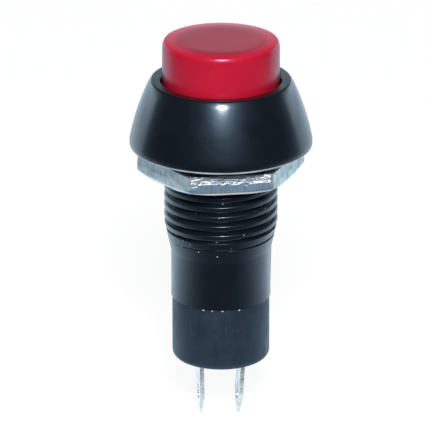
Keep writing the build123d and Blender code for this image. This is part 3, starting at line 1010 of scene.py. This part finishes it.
def makeSpring(node, name, material):
    # round wire wound on a helix, its ends ground flat
    s, coil = springSize, springSize[name]
    low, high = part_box(node)
    bottom, top = low.z - s["overrun"] * mm, high.z + s["overrun"] * mm
    bm = bmesh.new()
    upright = Matrix.Translation((coil["radius"] * mm, 0, bottom)) @ Matrix.Rotation(pi / 2, 4, "X")
    bmesh.ops.create_circle(bm, segments=s["wireSides"], radius=coil["wire"] * mm, cap_ends=True,
                            matrix=upright)
    steps = int(coil["turns"] * s["stepsPerTurn"])
    bmesh.ops.spin(bm, geom=[*bm.verts, *bm.edges, *bm.faces], axis=(0, 0, 1), cent=(0, 0, 0),
                   angle=2 * pi * coil["turns"], steps=steps, dvec=(0, 0, (top - bottom) / steps),
                   use_duplicate=False)
    for height, above in ((high.z, True), (low.z, False)):
        cutOff(bm, height / mm, above, near=0.0001)
        bmesh.ops.holes_fill(bm, edges=[e for e in bm.edges if e.is_boundary], sides=0)
    return newPiece(name, bm, material, 50)


steelBright = metalFinish("springSteel")
brassBright = metalFinish("contactBrass")
silverBright = metalFinish("contactSilver")
tinned = tinPlateFinish()
print("finishes made")

makeHousing(glossBlackFinish())
makeBase(mattBlackFinish())
makeSeamFlash(flashFinish())
makeNut(zincPlateFinish(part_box("panel_nut")[0].z / mm))
makeCap(glossRedFinish())

for node, name in (("terminal_left", "bladeLeft"), ("terminal_right", "bladeRight")):
    blade = softenedCopy(node, name, tinned, terminalSize["edgeRound"])
    narrowTip(blade)
    standFor(blade, "switch_body", "tinned_brass", node)

returnSpring = makeSpring("return_spring", "returnCoil", steelBright)
standFor(returnSpring, "switch_body", "spring_steel", "return_spring")
contactSpring = makeSpring("contact_spring", "contactCoil", steelBright)
standFor(contactSpring, "button", "spring_steel", "contact_spring")

innerPieces = (
    ("plunger", "plungerStem", nylonFinish(), "button", "nylon", 0.08),
    ("stop_washer", "stopRing", steelBright, "button", "spring_steel", 0.05),
    ("retaining_clip", "clipRing", steelBright, "button", "spring_steel", 0.05),
    ("contact_disc", "bridgeDisc", brassBright, "bridge", "contact_brass", 0.05),
    ("fixed_contact_left", "rivetLeft", silverBright, "switch_body", "contact_silver", 0.05),
    ("fixed_contact_right", "rivetRight", silverBright, "switch_body", "contact_silver", 0.05),
)
for node, name, material, body, slot, edgeRound in innerPieces:
    standFor(softenedCopy(node, name, material, edgeRound), body, slot, node)

# each spring, with the joint that presses it, its node and the end that stays put, gets a mesh of its
# own
pressedSprings = (
    (returnSpring, "button_press", "return_spring", "low"),
    (contactSpring, "bridge_float", "contact_spring", "high"),
)
for spring, joint, node, fixedEnd in pressedSprings:
    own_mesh(spring)
print("pieces made")


# floor, world and key light

stageLook = {
    "paper": (0.38, 0.38, 0.38),
    "paperRoughness": 0.9,
    "paperShine": 0.1,
    "floorSize": 6,
    "coolWhite": (0.68, 0.86, 1.0),
    "floorGlow": 0.6,  # share of plain white in the floor that the camera sees
    "floorWhite": 1.55,
    # the floor as metal and gloss show it: before the object, behind it and straight behind it
    "mirrorFront": 0.08,
    "mirrorBack": 1.5,
    "mirrorTurn": (-1.05, 0.6),
    "mirrorDeep": 0.8,
    "deepTurn": (0.84, 0.92),
    "mirrorNear": 1.15,
    "nearEdge": (0.021, 0.013),
    "farBack": 1.25,
    "farEdge": (0.07, 0.13),
    # the world, and how the same surfaces show it
    "skyLight": 0.09,
    "skyFront": 0.05,
    "skyBack": 2.1,
    "skyHigh": 0.78,
    "highEdge": (0.24, 0.10),
    "skyTop": 0.06,
    "topEdge": (0.38, 0.30),
    "backTurn": (0.32, 0.44),
    "key": {"azimuth": 2, "elevation": 37, "distance": 0.5, "size": 0.12, "power": 2.5},
}


def lamp(name, spec, aim=(0, 0, -0.008)):
    # azimuth is counted from the front, to the right
    azimuth, elevation = radians(spec["azimuth"]), radians(spec["elevation"])
    way = Vector((cos(elevation) * sin(azimuth), -cos(elevation) * cos(azimuth), sin(elevation)))
    data = bpy.data.lights.new(name, "AREA")
    data.shape = "DISK"
    data.size = spec["size"]
    data.energy = spec["power"]
    light = bpy.data.objects.new(name, data)
    light.location = Vector(aim) + way * spec["distance"]
    light.rotation_euler = (-way).to_track_quat("-Z", "Y").to_euler()
    bpy.context.scene.collection.objects.link(light)


def raysIn(maker):
    # rays that the camera sends, and those that gloss and clear pieces send on
    rays = maker.node("ShaderNodeLightPath")
    seen, glossy, through = rays.outputs("Is Camera Ray", "Is Glossy Ray", "Is Transmission Ray")
    return seen, glossy.larger(through)


def makeFloor():
    s = stageLook
    bm = bmesh.new()
    lowered = Matrix.Translation((0, 0, cadLow.z))
    bmesh.ops.create_grid(bm, x_segments=1, y_segments=1, size=s["floorSize"], matrix=lowered)
    mesh = bpy.data.meshes.new("floor")
    bm.to_mesh(mesh)
    bm.free()
    material = bpy.data.materials.new("palePaper")
    material.use_nodes = True
    tree = material.node_tree
    shader = tree.nodes["Principled BSDF"]
    shader.inputs["Base Color"].default_value = (*s["paper"], 1)
    shader.inputs["Roughness"].default_value = s["paperRoughness"]
    shader.inputs["Specular IOR Level"].default_value = s["paperShine"]
    maker = Signal(tree)
    seen, mirrored = raysIn(maker)
    place = maker.node("ShaderNodeTexCoord", out="Object")
    across, deep = maker.node("ShaderNodeSeparateXYZ", values={0: place}).outputs(0, 1)
    away = (across * across + deep * deep + 1e-8).root()  # never quite 0, for the division
    bearing = deep / away
    level = s["mirrorFront"] + bearing.ramp(*s["mirrorTurn"]) * (s["mirrorBack"] - s["mirrorFront"])
    level = level - bearing.ramp(*s["deepTurn"]) * (s["mirrorBack"] - s["mirrorDeep"])
    distant = s["skyFront"] + bearing.ramp(*s["backTurn"]) * (s["farBack"] - s["skyFront"])
    level = level + away.ramp(*s["farEdge"]) * (distant - level)
    level = level.larger(away.ramp(*s["nearEdge"]) * s["mirrorNear"])
    strength = seen * s["floorWhite"] + mirrored * level
    colour = mirrored.mix((1, 1, 1), s["coolWhite"])
    glow = maker.node("ShaderNodeEmission", values={"Color": colour, "Strength": strength})
    paper = Signal(tree, shader.outputs[0])
    glowing = seen * s["floorGlow"] + mirrored
    both = maker.node("ShaderNodeMixShader", values={0: glowing, 1: paper, 2: glow})
    tree.links.new(both.socket, tree.nodes["Material Output"].inputs["Surface"])
    mesh.materials.append(material)
    floor = bpy.data.objects.new("floor", mesh)
    bpy.context.scene.collection.objects.link(floor)


def makeWorld():
    # white all round behind the object, darker in front of it, where the viewer stands
    s = stageLook
    world = bpy.data.worlds.new("studio")
    bpy.context.scene.world = world
    world.use_nodes = True
    tree = world.node_tree
    maker = Signal(tree)
    direction = maker.node("ShaderNodeTexCoord", out="Generated")
    backward, upward = maker.node("ShaderNodeSeparateXYZ", values={0: direction}).outputs(1, 2)
    seen, mirrored = raysIn(maker)
    backdrop = s["skyTop"] + upward.ramp(*s["topEdge"]) * (s["skyHigh"] - s["skyTop"])
    backdrop = backdrop + upward.ramp(*s["highEdge"]) * (s["skyBack"] - s["skyHigh"])
    mirrorLevel = s["skyFront"] + backward.ramp(*s["backTurn"]) * (backdrop - s["skyFront"])
    level = s["skyLight"] + mirrored * (mirrorLevel - s["skyLight"]) + seen * (1 - s["skyLight"])
    background = tree.nodes["Background"]
    tree.links.new(seen.mix(s["coolWhite"], (1, 1, 1)).socket, background.inputs["Color"])
    tree.links.new(level.socket, background.inputs["Strength"])


cameraView = {
    "distance": 0.5,
    "elevation": 20.6,
    "lens": 450,
    "sensor": 36,
    "clipEnd": 20,
    "aim": (-0.000845, 0, -0.00733),
}


def makeCamera():
    s = cameraView
    data = bpy.data.cameras.new("camera")
    data.lens = s["lens"]
    data.sensor_width = s["sensor"]
    data.clip_end = s["clipEnd"]
    camera = bpy.data.objects.new("camera", data)
    way = Vector((0, s["distance"], -s["distance"] * tan(radians(s["elevation"]))))
    camera.location = Vector(s["aim"]) - way
    camera.rotation_euler = way.to_track_quat("-Z", "Y").to_euler()
    bpy.context.scene.collection.objects.link(camera)
    bpy.context.scene.camera = camera


makeFloor()
makeWorld()
lamp("keyLamp", stageLook["key"])
makeCamera()
bpy.context.scene.view_settings.view_transform = "Standard"
print("stage set")
